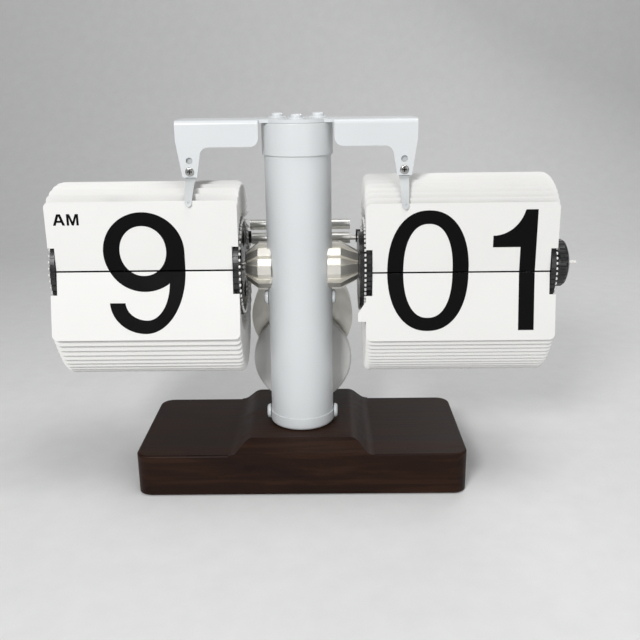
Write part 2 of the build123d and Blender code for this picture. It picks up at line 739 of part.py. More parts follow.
# ================================================================ gearbox
with BuildPart() as gearbox_case:
    with BuildSketch(back_plane(CASE_FRONT_Y)):
        with Locations((0, CASE_Z)):
            Circle(CASE_R)
    extrude(amount=CASE_BACK_Y - CASE_FRONT_Y)
    with BuildSketch(back_plane(CASE_LOW_FRONT_Y)):
        with Locations((0, CASE_LOW_Z)):
            Circle(CASE_LOW_R)
    extrude(amount=CASE_BACK_Y - CASE_LOW_FRONT_Y)
    with BuildSketch(back_plane(CASE_FRONT_Y - 4)):
        with Locations((0, (TOWER_BOTTOM + TOWER_TOP) / 2)):
            Rectangle(2 * TOWER_HALF_X, TOWER_TOP - TOWER_BOTTOM)
    extrude(amount=TOWER_DEPTH)
    with BuildSketch(back_plane(0)):
        with Locations((0, PAD_Z)):
            Rectangle(PAD_W, PAD_H)
    extrude(amount=CASE_FRONT_Y)
    with BuildSketch(Plane.XY):
        Circle(TUBE_R)
    extrude(amount=TOWER_TOP, mode=Mode.SUBTRACT)
    with BuildSketch(back_plane(CASE_FRONT_Y + CASE_WALL)):
        with Locations((0, CASE_Z)):
            Circle(CASE_R - CASE_WALL)
    extrude(amount=CASE_BACK_Y, mode=Mode.SUBTRACT)
    with BuildSketch(back_plane(CASE_LOW_FRONT_Y + CASE_WALL)):
        with Locations((0, CASE_LOW_Z)):
            Circle(CASE_LOW_R - CASE_WALL)
    extrude(amount=CASE_BACK_Y, mode=Mode.SUBTRACT)
    for bar_y, bar_z, bar_r in ((SLEEVE_Y, SLEEVE_Z, SLEEVE_R), (ROD_Y, ROD_Z, ROD_R)):
        with BuildSketch(x_plane(-TOWER_HALF_X - 1, bar_y, bar_z)):
            Circle(bar_r)
        extrude(amount=2 * TOWER_HALF_X + 2, mode=Mode.SUBTRACT)
    with BuildSketch(back_plane(0)):
        with Locations(*[(0, bolt_z) for bolt_z in COLUMN_BOLT_Z]):
            Circle(SCREW_R)
    extrude(amount=CASE_FRONT_Y + CASE_WALL, mode=Mode.SUBTRACT)
save(gearbox_case.part, "gearbox_case")

with BuildPart() as gearbox_cover:
    with BuildSketch(back_plane(CASE_BACK_Y)):
        with Locations((0, CASE_Z)):
            Circle(CASE_R)
        with Locations((0, CASE_LOW_Z)):
            Circle(CASE_LOW_R)
    extrude(amount=COVER_T)
    fillet(gearbox_cover.edges().group_by(Axis.Y)[-1], 0.8)
save(gearbox_cover.part, "gearbox_cover")

with BuildPart() as motor_cover:
    with BuildSketch(back_plane(MOTOR_COVER_Y[0])):
        with Locations((0, CASE_LOW_Z)):
            Circle(MOTOR_COVER_R)
    extrude(amount=MOTOR_COVER_Y[1] - MOTOR_COVER_Y[0])
    fillet(motor_cover.edges().group_by(Axis.Y)[0], 2.2)
    fillet(motor_cover.edges().group_by(Axis.Y)[-1], 0.6)
save(motor_cover.part, "motor_cover")

column_bolts = []
BOLT_HEAD_R = 3.0
bolt_seat_y = math.sqrt((TUBE_R - TUBE_WALL) ** 2 - BOLT_HEAD_R**2) - 4 * HOLE_PLAY
for bolt_z in COLUMN_BOLT_Z:
    seat = Plane(origin=(0, bolt_seat_y, bolt_z), z_dir=(0, -1, 0))
    column_bolts.append(dome_screw(seat, BOLT_HEAD_R, 1.8, SCREW_R, CASE_FRONT_Y - bolt_seat_y))
save(Compound(children=column_bolts), "gearbox_bolts")


def spur_gear(teeth, bore, y0, y1, centre_z, turn_deg):
    """An involute spur gear about Y, with one flank formula for every tooth."""
    pitch_r = MODULE * teeth / 2
    base_r = pitch_r * math.cos(PRESSURE_ANGLE)
    tip_r = pitch_r + 0.9 * MODULE
    root_r = pitch_r - 1.2 * MODULE
    half_tooth = math.pi / (2 * teeth) - 0.04 / pitch_r
    flank_turn = math.tan(PRESSURE_ANGLE) - PRESSURE_ANGLE
    flank = []
    for step in range(6):
        radius = max(base_r, root_r) + (tip_r - max(base_r, root_r)) * step / 5
        spread = math.sqrt(max(0.0, (radius / base_r) ** 2 - 1))
        angle = half_tooth + flank_turn - (spread - math.atan(spread))
        flank.append((radius, angle))
    outline = []
    for tooth in range(teeth):
        middle = math.radians(turn_deg) + 2 * math.pi * tooth / teeth
        side_a = [(root_r, half_tooth + flank_turn)] + flank
        for radius, angle in side_a:
            outline.append((radius * math.cos(middle - angle), radius * math.sin(middle - angle)))
        for radius, angle in reversed(side_a):
            outline.append((radius * math.cos(middle + angle), radius * math.sin(middle + angle)))
    with BuildPart() as gear:
        with BuildSketch(back_plane(y0, 0, centre_z)):
            with BuildLine():
                Polyline(*outline, close=True)
            make_face()
            if bore:
                Circle(bore, mode=Mode.SUBTRACT)
        extrude(amount=y1 - y0)
    return gear.part


save(spur_gear(WHEEL_TEETH, ARBOR_R, *GEAR_Y, WHEEL_Z, -90), "reduction_wheel")
save(spur_gear(PINION_TEETH, ROTOR_SHAFT_R, *GEAR_Y, CASE_LOW_Z, 90 + 180 / PINION_TEETH), "motor_pinion")


def rod_y(y0, y1, radius, centre_z, bore=0.0):
    """A round bar or sleeve along Y on the gearbox's middle line."""
    with BuildPart() as bar:
        with BuildSketch(back_plane(y0, 0, centre_z)):
            Circle(radius)
            if bore:
                Circle(bore, mode=Mode.SUBTRACT)
        extrude(amount=y1 - y0)
    return bar.part


save(rod_y(CASE_FRONT_Y + CASE_WALL, CASE_BACK_Y, ARBOR_R - BUSH_PLAY, WHEEL_Z), "wheel_arbor")
save(rod_y(ROTOR_Y[1], GEAR_Y[1], ROTOR_SHAFT_R, CASE_LOW_Z), "rotor_shaft")
save(rod_y(*ROTOR_Y, ROTOR_R, CASE_LOW_Z), "motor_rotor")

with BuildPart() as motor_can:
    with BuildSketch(back_plane(CASE_LOW_FRONT_Y + CASE_WALL, 0, CASE_LOW_Z)):
        Circle(MOTOR_R)
    extrude(amount=MOTOR_Y[1] - CASE_LOW_FRONT_Y - CASE_WALL)
    with BuildSketch(back_plane(MOTOR_Y[0], 0, CASE_LOW_Z)):
        Circle(MOTOR_R - MOTOR_WALL)
    extrude(amount=MOTOR_Y[1] - MOTOR_Y[0] - MOTOR_WALL, mode=Mode.SUBTRACT)
    with BuildSketch(back_plane(MOTOR_Y[0], 0, CASE_LOW_Z)):
        Circle(ROTOR_SHAFT_R + HOLE_PLAY)
    extrude(amount=MOTOR_Y[1], mode=Mode.SUBTRACT)
save(motor_can.part, "motor_can")
COIL_R, COIL_BORE_R = MOTOR_R - 1.4, ROTOR_R + 0.7
save(rod_y(MOTOR_Y[0] + 1, MOTOR_Y[1] - 2, COIL_R, CASE_LOW_Z, bore=COIL_BORE_R), "motor_coil")

BOARD_BACK_Y = CASE_FRONT_Y + CASE_WALL
BOARD_T, BOARD_STAND = 1.6, 2.0
with BuildPart() as control_board:
    with BuildSketch(back_plane(BOARD_BACK_Y + BOARD_STAND, 0, BOARD_Z)):
        Rectangle(30, 14)
    extrude(amount=BOARD_T)
    with BuildSketch(back_plane(BOARD_BACK_Y + BOARD_STAND + BOARD_T, 0, BOARD_Z)):
        with Locations((-10, 0)):
            Rectangle(8, 8)
        with Locations((8, 1)):
            Rectangle(9, 3.4)
    extrude(amount=1.8)
    with BuildSketch(back_plane(BOARD_BACK_Y, 0, BOARD_Z)):
        with GridLocations(24, 9, 2, 2):
            Circle(1.2)
    extrude(amount=BOARD_STAND)
save(control_board.part, "control_board")

# ================================================================ battery and its contacts
with BuildPart() as battery:
    with BuildSketch(Plane.XY.offset(CELL_BOTTOM)):
        Circle(CELL_R)
    extrude(amount=CELL_LENGTH)
    fillet(battery.edges().group_by(Axis.Z)[-1], 1.2)
    with BuildSketch(Plane.XY.offset(CELL_BOTTOM + CELL_LENGTH)):
        Circle(CELL_NUB_R)
    extrude(amount=CELL_NUB_H)
save(battery.part, "battery")

with BuildPart() as top_contact:
    with BuildSketch(Plane.XY.offset(CONTACT_Z)):
        Circle(CONTACT_R)
    extrude(amount=CONTACT_T)
    with BuildSketch(Plane.XY.offset(CONTACT_Z + CONTACT_T)):
        Circle(CONTACT_T)
    extrude(amount=PLUG_T + 1)
save(top_contact.part, "top_contact")

with BuildPart() as contact_plug:
    with BuildSketch(Plane.XY.offset(CONTACT_Z + CONTACT_T)):
        Circle(TUBE_R - TUBE_WALL)
        Circle(CONTACT_T, mode=Mode.SUBTRACT)
    extrude(amount=PLUG_T)
save(contact_plug.part, "contact_plug")

with BuildPart() as battery_hatch:
    with BuildSketch(Plane.XY):
        Circle(HATCH_R)
    extrude(amount=HATCH_T)
    chamfer(battery_hatch.edges().group_by(Axis.Z)[0], 0.5)
    with BuildSketch(Plane.XY.offset(HATCH_T)):
        Circle(NECK_BORE_R - 0.3)
    extrude(amount=HATCH_RIM_H)
    with BuildSketch(Plane.XY.offset(HATCH_T + HATCH_FLOOR_T)):
        Circle(NECK_BORE_R - 0.3 - HATCH_RIM_T)
    extrude(amount=HATCH_RIM_H, mode=Mode.SUBTRACT)
    with BuildSketch(Plane.XY):
        with Locations((15, 0), (-15, 0)):
            SlotOverall(8.0, 3.0, rotation=90)
    extrude(amount=1.6, mode=Mode.SUBTRACT)
save(battery_hatch.part, "battery_hatch")

with BuildPart() as contact_spring:
    with BuildSketch(Plane.XZ.offset(-SPRING_W / 2)):
        with BuildLine():
            Polyline(
                (-12, HATCH_T + HATCH_FLOOR_T + SPRING_T / 2),
                (-3, HATCH_T + HATCH_FLOOR_T + SPRING_T / 2),
                (7, CELL_BOTTOM - 1.4),
                (11, CELL_BOTTOM - 3.2),
            )
            offset(amount=SPRING_T / 2, kind=Kind.INTERSECTION)
        make_face()
    extrude(amount=SPRING_W)
save(contact_spring.part, "contact_spring")

COVER_SCREW_XZ = ((0, CASE_Z + 30), (-27, CASE_Z + 12), (27, CASE_Z + 12), (0, CASE_LOW_Z - 25))
cover_screws = []
for screw_x, screw_z in COVER_SCREW_XZ:
    seat = back_plane(CASE_BACK_Y + COVER_T, screw_x, screw_z)
    with BuildPart() as cover_screw:
        with BuildSketch(seat):
            Circle(2.6)
        extrude(amount=1.6)
        fillet(cover_screw.edges().group_by(Axis.Y)[-1], 1.0)
        with BuildSketch(seat.offset(1.6)):
            Rectangle(3.4, 0.7)
            Rectangle(0.7, 3.4)
        extrude(amount=-0.8, mode=Mode.SUBTRACT)
    cover_screws.append(cover_screw.part)
save(Compound(children=cover_screws), "gearbox_cover_screws")
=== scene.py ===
"""Looks for the flip number clock: finishes, digits, card pins, studio and camera, in metres."""

import json
import math

import bmesh
import bpy
from mathutils import Matrix, Vector


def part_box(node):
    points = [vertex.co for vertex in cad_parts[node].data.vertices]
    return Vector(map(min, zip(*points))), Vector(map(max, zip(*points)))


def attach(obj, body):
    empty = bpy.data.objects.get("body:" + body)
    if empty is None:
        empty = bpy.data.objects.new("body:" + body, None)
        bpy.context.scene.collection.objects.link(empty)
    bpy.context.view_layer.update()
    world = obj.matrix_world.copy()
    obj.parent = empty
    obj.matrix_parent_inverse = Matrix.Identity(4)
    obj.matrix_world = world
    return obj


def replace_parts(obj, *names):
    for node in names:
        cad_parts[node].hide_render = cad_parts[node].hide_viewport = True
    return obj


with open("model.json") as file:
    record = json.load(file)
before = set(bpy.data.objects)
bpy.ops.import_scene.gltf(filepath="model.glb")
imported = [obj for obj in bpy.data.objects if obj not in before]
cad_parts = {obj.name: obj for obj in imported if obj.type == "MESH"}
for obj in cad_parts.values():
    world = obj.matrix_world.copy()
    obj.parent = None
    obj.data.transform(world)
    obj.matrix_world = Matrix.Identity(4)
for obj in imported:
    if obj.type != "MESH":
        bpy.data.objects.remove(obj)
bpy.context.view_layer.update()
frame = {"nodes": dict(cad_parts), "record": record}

MM = 0.001
AXLE_Z = 0.142
PIN_RING = 0.0295       # radius of the circle that the cards' hinges lie on
CARD_T = 0.00022
CARD_L = 0.0403
CARD_PITCH = 0.00055    # how far in front of the hinge below it the hanging front card passes
CARD_LEAN = 1.0         # degrees that the front card leans back
SPLIT_GAP = 0.001       # between the standing and the hanging front card
CARD_COUNTS = {"minute": 60, "hour": 48}
FRONT_ANGLES = {"minute": 5.7, "hour": 11.5}    # where the front card's hinge lies on its circle
STACK_FANS = {"minute": 0.6, "hour": 1.0}       # share of the drum's turn that the cards fan, at the front


def pin_place(drum, steps):
    """Y and Z of a card's hinge, counted in steps up the ring from the front card."""
    angle = math.radians(FRONT_ANGLES[drum] + steps * 360 / CARD_COUNTS[drum])
    return -PIN_RING * math.cos(angle), AXLE_Z + PIN_RING * math.sin(angle)


# ================================================================ materials
NOISE_LOW, NOISE_HIGH = 0.3, 0.7    # nearly all of a noise's values lie between these


class Surface:
    """A node material under construction: a Principled shader and the nodes that feed it."""

    def __init__(self, name, color, roughness, metallic=0.0, **sockets):
        self.material = bpy.data.materials.new(name)
        self.material.use_nodes = True
        self.nodes = self.material.node_tree.nodes
        self.links = self.material.node_tree.links
        self.shader = self.nodes["Principled BSDF"]
        self.set("Base Color", (*color, 1.0))
        self.set("Roughness", roughness)
        self.set("Metallic", metallic)
        for socket, value in sockets.items():
            self.set(socket.replace("_", " "), value)
        self.height = None

    def set(self, socket, value):
        self.shader.inputs[socket].default_value = value

    def noise(self, scale, detail=4.0, stretch=(1.0, 1.0, 1.0), roughness=0.55, distortion=0.0):
        """A noise over the object's own coordinates, stretched along its axes."""
        coords = self.nodes.new("ShaderNodeTexCoord")
        mapping = self.nodes.new("ShaderNodeMapping")
        mapping.inputs["Scale"].default_value = stretch
        noise = self.nodes.new("ShaderNodeTexNoise")
        noise.inputs["Scale"].default_value = scale
        noise.inputs["Detail"].default_value = detail
        noise.inputs["Roughness"].default_value = roughness
        noise.inputs["Distortion"].default_value = distortion
        self.links.new(coords.outputs["Object"], mapping.inputs["Vector"])
        self.links.new(mapping.outputs["Vector"], noise.inputs["Vector"])
        return noise.outputs["Fac"]

    def ramp(self, source, stops):
        """Colours along a value: stops are (place, colour)."""
        ramp = self.nodes.new("ShaderNodeValToRGB")
        while len(ramp.color_ramp.elements) < len(stops):
            ramp.color_ramp.elements.new(0.5)
        for element, (place, color) in zip(ramp.color_ramp.elements, stops):
            element.position = place
            element.color = (*color, 1.0)
        self.links.new(source, ramp.inputs["Fac"])
        return ramp.outputs["Color"]

    def span(self, source, low, high):
        """Spread a noise's values between two limits."""
        spread = self.nodes.new("ShaderNodeMapRange")
        spread.inputs["From Min"].default_value = NOISE_LOW
        spread.inputs["From Max"].default_value = NOISE_HIGH
        spread.inputs["To Min"].default_value = low
        spread.inputs["To Max"].default_value = high
        self.links.new(source, spread.inputs["Value"])
        return spread.outputs["Result"]

    def feed(self, source, socket):
        self.links.new(source, self.shader.inputs[socket])

    def tones(self, source, dark, light):
        """Base colour from a dark tone to a light one along a noise."""
        self.feed(self.ramp(source, [(NOISE_LOW, dark), (NOISE_HIGH, light)]), "Base Color")

    def gloss(self, source, low, high):
        """Roughness between two limits along a noise."""
        self.feed(self.span(source, low, high), "Roughness")

    def bump(self, source, strength, distance):
        """Add a relief on top of the ones already there."""
        bump = self.nodes.new("ShaderNodeBump")
        bump.inputs["Strength"].default_value = strength
        bump.inputs["Distance"].default_value = distance
        self.links.new(source, bump.inputs["Height"])
        if self.height:
            self.links.new(self.height, bump.inputs["Normal"])
        self.height = bump.outputs["Normal"]
        self.links.new(self.height, self.shader.inputs["Normal"])


def painted_white():
    """Smooth cool white powder coat with a faint orange peel."""
    paint = Surface("white_paint", (0.69, 0.715, 0.725), 0.36, Coat_Weight=0.25, Coat_Roughness=0.2)
    paint.tones(paint.noise(9.0, 3.0), (0.67, 0.695, 0.705), (0.71, 0.735, 0.745))
    paint.gloss(paint.noise(45.0, 3.0), 0.32, 0.42)
    paint.bump(paint.noise(1500.0, 2.0), 0.12, 0.0002)
    return paint.material


def card_plastic():
    """Warm white satin sheet."""
    card = Surface("card_white", (0.80, 0.795, 0.775), 0.5, Specular_IOR_Level=0.3)
    card.tones(card.noise(14.0, 3.0), (0.785, 0.78, 0.76), (0.815, 0.81, 0.79))
    card.gloss(card.noise(60.0, 4.0), 0.46, 0.56)
    card.bump(card.noise(2600.0, 2.0), 0.06, 0.0001)
    return card.material


def black_ink_and_shade():
    """Matte black printing ink, also used as painted shade in the finger screws' cross recesses."""
    ink = Surface("printed_ink_and_painted_shade", (0.001, 0.001, 0.0012), 0.6, Specular_IOR_Level=0.1)
    ink.gloss(ink.noise(90.0, 4.0), 0.5, 0.62)
    ink.bump(ink.noise(2200.0, 2.0), 0.08, 0.0001)
    return ink.material


def black_plastic():
    """Glossy black moulding."""
    plastic = Surface("black_plastic", (0.012, 0.012, 0.013), 0.24)
    plastic.tones(plastic.noise(30.0, 3.0), (0.009, 0.009, 0.010), (0.020, 0.020, 0.021))
    plastic.gloss(plastic.noise(160.0, 4.0), 0.2, 0.36)
    plastic.bump(plastic.noise(900.0, 3.0), 0.1, 0.0002)
    return plastic.material


def satin_silver():
    """Die-cast metal with a fine satin and a warm tint."""
    metal = Surface("satin_silver", (0.76, 0.74, 0.68), 0.42, 0.85)
    metal.tones(metal.noise(40.0, 4.0), (0.72, 0.70, 0.64), (0.80, 0.78, 0.72))
    metal.gloss(metal.noise(240.0, 5.0), 0.38, 0.48)
    metal.bump(metal.noise(1800.0, 3.0), 0.08, 0.0001)
    return metal.material


def bright_steel():
    """Turned steel: fine rings round the bar, drawn out along X."""
    metal = Surface("bright_steel", (0.84, 0.83, 0.79), 0.36, 0.8)
    rings = metal.noise(700.0, 3.0, (4.0, 0.2, 0.2))
    metal.tones(rings, (0.80, 0.79, 0.75), (0.88, 0.87, 0.83))
    metal.gloss(rings, 0.3, 0.42)
    metal.bump(rings, 0.1, 0.0001)
    return metal.material


def brass():
    """Plain brass, a little dull."""
    metal = Surface("brass_fittings", (0.72, 0.53, 0.25), 0.3, 1.0)
    metal.gloss(metal.noise(200.0, 4.0), 0.24, 0.42)
    metal.tones(metal.noise(50.0, 3.0), (0.62, 0.44, 0.2), (0.78, 0.6, 0.32))
    return metal.material


def dark_wood():
    """Very dark stained wood under satin lacquer, its grain along X."""
    wood = Surface("dark_wood", (0.016, 0.006, 0.004), 0.45, Specular_IOR_Level=0.12)
    grain = wood.noise(26.0, 9.0, (0.35, 4.5, 4.5), 0.66, 0.7)
    pores = wood.noise(420.0, 3.0, (0.05, 1.0, 1.0), 0.6)
    stains = [
        (0.28, (0.007, 0.0028, 0.0016)),
        (0.48, (0.017, 0.0066, 0.0036)),
        (0.6, (0.030, 0.0125, 0.0064)),
        (0.75, (0.013, 0.005, 0.0028)),
    ]
    wood.feed(wood.ramp(grain, stains), "Base Color")
    wood.gloss(grain, 0.36, 0.52)
    wood.bump(grain, 0.12, 0.0006)
    wood.bump(pores, 0.18, 0.0003)
    return wood.material


def plain(name, color, roughness, metallic=0.0, fleck=0.12):
    """A simple finish with a little variation in tone and gloss."""
    finish = Surface(name, color, roughness, metallic)
    dark = tuple(c * (1 - fleck) for c in color)
    light = tuple(min(1.0, c * (1 + fleck)) for c in color)
    finish.tones(finish.noise(60.0, 4.0), dark, light)
    finish.gloss(finish.noise(180.0, 4.0), roughness * 0.85, roughness * 1.15)
    finish.bump(finish.noise(900.0, 3.0), 0.1, 0.0002)
    return finish.material


finishes = {
    "white_paint": painted_white(),
    "card_white": card_plastic(),
    "black_plastic": black_plastic(),
    "satin_silver": satin_silver(),
    "bright_steel": bright_steel(),
    "brass_fittings": brass(),
    "dark_wood": dark_wood(),
    "base_pad": plain("base_pad", (0.02, 0.02, 0.02), 0.95),
    "cell_jacket": plain("cell_jacket", (0.05, 0.06, 0.08), 0.3, 0.4),
    "board_green": plain("board_green", (0.02, 0.12, 0.05), 0.45),
    "gear_plastic": plain("gear_plastic", (0.75, 0.72, 0.62), 0.45),
    "magnet": plain("magnet", (0.08, 0.08, 0.085), 0.5, 0.8),
}
# Black ink for the printed digits, also used as painted shade at the floor of the finger screws' cross
# recesses
ink = black_ink_and_shade()

# Nodes whose look differs from the rest of their slot
own_finish = {
    "motor_cover": plain("motor_cover_white", (0.84, 0.835, 0.81), 0.35, fleck=0.02),
    "finger_screws": plain("screw_steel", (0.5, 0.5, 0.49), 0.22, 1.0),
}
leaf_grey = plain("leaf_grey", (0.52, 0.54, 0.545), 0.4, fleck=0.03)
slot_of = {row["node"]: row["material_slot"] for row in frame["record"]["subparts"]}
for node_name, node in frame["nodes"].items():
    finish = own_finish.get(node_name, finishes[slot_of[node_name]])
    if node.material_slots:
        for material_slot in node.material_slots:
            material_slot.link = "OBJECT"
            material_slot.material = finish
    else:
        node.data.materials.append(finish)


# ================================================================ helpers for new pieces
def piece(name, mesh, body, material):
    """A new object from a mesh, riding on a body."""
    shape = bpy.data.objects.new(name, mesh)
    bpy.context.collection.objects.link(shape)
    mesh.materials.clear()
    mesh.materials.append(material)
    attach(shape, body)
    return shape


def arc(centre, radii, start, end, count=24):
    """Points of an elliptical arc from a start angle to an end angle, in degrees."""
    points = []
    for step in range(count + 1):
        angle = math.radians(start + (end - start) * step / count)
        points.append((centre[0] + radii[0] * math.cos(angle), centre[1] + radii[1] * math.sin(angle)))
    return points


def super_ring(centre, radii, power, count=72):
    """A closed squarish oval."""
    points = []
    for step in range(count):
        angle = 2 * math.pi * step / count
        cos, sin = math.cos(angle), math.sin(angle)
        points.append((
            centre[0] + radii[0] * math.copysign(abs(cos) ** (2 / power), cos),
            centre[1] + radii[1] * math.copysign(abs(sin) ** (2 / power), sin),
        ))
    return points


# ================================================================ digits
# Each glyph is a list of closed outlines in millimetres, from the middle of its width and its foot.
INK_T = 0.00006
INK_GAP = 0.00002       # keeps the ink's back off the card's face
WELD = 1e-6


def glyph_9():
    outer = arc((0, 20), (21.9, 20), 183, 270) + arc((0, 38), (24.6, 38), 270, 360)
    outer += arc((0, 49.9), (24.6, 24.2), 0, 306, 60)
    outer += arc((1, 31), (13.8, 22.8), 0, -90) + arc((1, 19.5), (13.4, 11.3), -92, -177)
    return [outer, super_ring((-0.5, 50.6), (14.1, 15.2), 2.05)]


def glyph_0():
    return [super_ring((0, 36.7), (24.6, 36.7), 2.22), super_ring((0, 36.7), (14.9, 28.6), 2.3)]


def glyph_1():
    right, left, flag_x = 13.0, 3.5, -13.0
    outline = [(right, 0), (right, 73.4), (right - 6.8, 73.4)]
    outline += arc((flag_x, 79.0), (19.4, 21.2), -16, -90, 16)
    outline += [(flag_x, 50.8), (left, 50.8), (left, 0)]
    return [outline]


def glyph_2():
    outline = [(-22, 0), (22, 0), (22, 8.6), (-10.5, 8.6), (-8.2, 13.2), (-2.8, 18.7), (5.5, 25.2)]
    outline += [(13.6, 31.8), (19.4, 39.4), (22.0, 46.5)] + arc((0, 50.3), (22.4, 23.4), 0, 178, 44)
    outline += arc((0.2, 50.6), (13.0, 14.8), 178, 0, 40)
    outline += [(11.6, 43.9), (7.8, 38.4), (1.2, 32.4), (-7.6, 25.4), (-15.4, 18.4)]
    outline += [(-19.9, 11.6), (-21.8, 5.0)]
    return [outline]


def glyph_a():
    return [[(-3.6, 0), (-1.15, 6.8), (1.15, 6.8), (3.6, 0), (2.0, 0), (1.4, 1.7), (-1.4, 1.7), (-2.0, 0)],
            [(-0.95, 2.95), (0.95, 2.95), (0, 5.5)]]


def glyph_m():
    return [[(-3.6, 0), (-3.6, 6.8), (-1.7, 6.8), (0, 2.3), (1.7, 6.8), (3.6, 6.8), (3.6, 0), (2.2, 0),
             (2.2, 4.7), (0.6, 0), (-0.6, 0), (-2.2, 4.7), (-2.2, 0)]]


def flat_glyph(outlines, place_x, foot_z):
    """A filled flat mesh of a glyph in the XZ plane, in metres."""
    curve = bpy.data.curves.new("glyph", "CURVE")
    curve.dimensions = "2D"
    curve.fill_mode = "BOTH"
    for outline in outlines:
        spline = curve.splines.new("POLY")
        spline.points.add(len(outline) - 1)
        spline.use_cyclic_u = True
        for point, (x, z) in zip(spline.points, outline):
            point.co = (place_x + x * MM, foot_z + z * MM, 0, 1)
    carrier = bpy.data.objects.new("glyph", curve)
    mesh = bpy.data.meshes.new_from_object(carrier)
    bpy.data.objects.remove(carrier)
    mesh.transform(Matrix(((1, 0, 0, 0), (0, 0, 1, 0), (0, 1, 0, 0), (0, 0, 0, 1))))
    return mesh


def ink_half(name, glyphs, cut_z, upper, body, face_y, turn):
    """One half of a row of glyphs, as a thin layer of ink on a card's face.

    The glyphs are drawn upright in front of the face at face_y and cut at cut_z. The turn is the matrix
    that carries the upright card to where the ink's own card is.
    """
    joined = bmesh.new()
    for outlines, place_x, foot_z in glyphs:
        joined.from_mesh(flat_glyph(outlines, place_x, foot_z))
    away = -1 if upper else 1
    every = joined.verts[:] + joined.edges[:] + joined.faces[:]
    bmesh.ops.bisect_plane(
        joined, geom=every, plane_co=(0, 0, cut_z), plane_no=(0, 0, away), clear_outer=True
    )
    bmesh.ops.remove_doubles(joined, verts=joined.verts, dist=WELD)
    bmesh.ops.recalc_face_normals(joined, faces=joined.faces)
    raised = bmesh.ops.extrude_face_region(joined, geom=joined.faces[:])
    front = [item for item in raised["geom"] if isinstance(item, bmesh.types.BMVert)]
    bmesh.ops.translate(joined, verts=front, vec=(0, -INK_T, 0))
    bmesh.ops.translate(joined, verts=joined.verts, vec=(0, face_y, 0))
    bmesh.ops.recalc_face_normals(joined, faces=joined.faces)
    bmesh.ops.transform(joined, matrix=turn, verts=joined.verts)
    mesh = bpy.data.meshes.new(name)
    joined.to_mesh(mesh)
    joined.free()
    piece(name, mesh, body, ink)


def turn_about(y, z, degrees):
    """A turn about the line along X through (y, z)."""
    there = Matrix.Translation((0, y, z))
    return there @ Matrix.Rotation(math.radians(degrees), 4, "X") @ there.inverted()


DIGIT_FOOT = 0.1076
AM_FOOT = 0.1742
minute_x = {"tens": 0.0785, "units": 0.1301, "wide_units": 0.1262}
hour_x = {"single": -0.0930, "tens": -0.1180, "units": -0.0650}
am_x = (-0.1425, -0.1342)

minute_now = [(glyph_0(), minute_x["tens"], DIGIT_FOOT), (glyph_1(), minute_x["units"], DIGIT_FOOT)]
minute_next = [(glyph_0(), minute_x["tens"], DIGIT_FOOT), (glyph_2(), minute_x["wide_units"], DIGIT_FOOT)]
am_mark = [(glyph_a(), am_x[0], AM_FOOT), (glyph_m(), am_x[1], AM_FOOT)]
hour_now = [(glyph_9(), hour_x["single"], DIGIT_FOOT)] + am_mark
hour_next = [(glyph_1(), hour_x["tens"], DIGIT_FOOT), (glyph_0(), hour_x["units"], DIGIT_FOOT)] + am_mark


def drum_ink(drum, now, later):
    """The digits that show on a drum, and the next ones, which the falling card uncovers and carries."""
    flip_pin, next_pin, hanging_pin, below_pin = (pin_place(drum, steps) for steps in (0, 1, -1, -2))
    tail = (flip_pin[1] - hanging_pin[1] - SPLIT_GAP) / 2    # how far a card reaches past its hinge
    upper_cut = flip_pin[1] - tail
    lower_cut = hanging_pin[1] + tail

    face_y = flip_pin[0] - CARD_T / 2 - INK_GAP
    lean = turn_about(*flip_pin, -CARD_LEAN)
    ink_half(f"{drum}_digits_upper", now, upper_cut, True, f"{drum}_card", face_y, lean)

    push = CARD_PITCH - (below_pin[0] - hanging_pin[0])
    swing = math.degrees(math.asin(max(0.0, push / (hanging_pin[1] - below_pin[1] - tail))))
    hang = turn_about(*hanging_pin, -swing)
    hanging_face_y = hanging_pin[0] - CARD_T / 2 - INK_GAP
    ink_half(f"{drum}_digits_lower", now, lower_cut, False, "stand", hanging_face_y, hang)

    step = 360 / CARD_COUNTS[drum]
    fan = STACK_FANS[drum]
    next_turn = turn_about(*next_pin, -step * (fan + (1 - fan) * step / 180))
    shift = Matrix.Translation((0, next_pin[0] - flip_pin[0], next_pin[1] - flip_pin[1]))
    ink_half(f"{drum}_next_upper", later, upper_cut, True, "stand", face_y, next_turn @ shift @ lean)

    flipped = turn_about(*flip_pin, 180 - CARD_LEAN)
    ink_half(f"{drum}_next_lower", later, flip_pin[1] + tail, False, f"{drum}_card", face_y, flipped)


drum_ink("minute", minute_now, minute_next)
drum_ink("hour", hour_now, hour_next)


# ================================================================ card pins
PIN_R = 0.00095
PIN_REACH = 0.0013
PIN_ROUNDING = PIN_R * 0.45
SHARP_ANGLE = 1.0       # radians between two faces that makes their edge a rim


def pin_ring(name, face_x, out, drum):
    """The round white ends of the cards' pins, standing out of a drum disc in a ring."""
    along_x = Matrix.Rotation(math.pi / 2, 4, "Y")
    pins = bmesh.new()
    for index in range(CARD_COUNTS[drum]):
        y, z = pin_place(drum, index)
        place = Matrix.Translation((face_x + out * PIN_REACH / 2, y, z)) @ along_x
        made = bmesh.ops.create_cone(
            pins, cap_ends=True, segments=16, radius1=PIN_R, radius2=PIN_R, depth=PIN_REACH, matrix=place
        )
        edges = {edge for vert in made["verts"] for edge in vert.link_edges}
        rims = [edge for edge in edges if edge.calc_face_angle() > SHARP_ANGLE]
        bmesh.ops.bevel(pins, geom=rims, offset=PIN_ROUNDING, segments=3, affect="EDGES", profile=0.5)
    mesh = bpy.data.meshes.new(name)
    pins.to_mesh(mesh)
    pins.free()
    for face in mesh.polygons:
        face.use_smooth = True
    piece(name, mesh, f"{drum}_drum", finishes["card_white"])


DISC_FACES = (("minute", "inner", -1), ("minute", "outer", 1), ("hour", "inner", 1), ("hour", "outer", -1))
for drum, side, out in DISC_FACES:
    disc = f"{drum}_{side}_disc"
    low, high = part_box(disc)
    pin_ring(f"{disc}_pins", high[0] if out > 0 else low[0], out, drum)


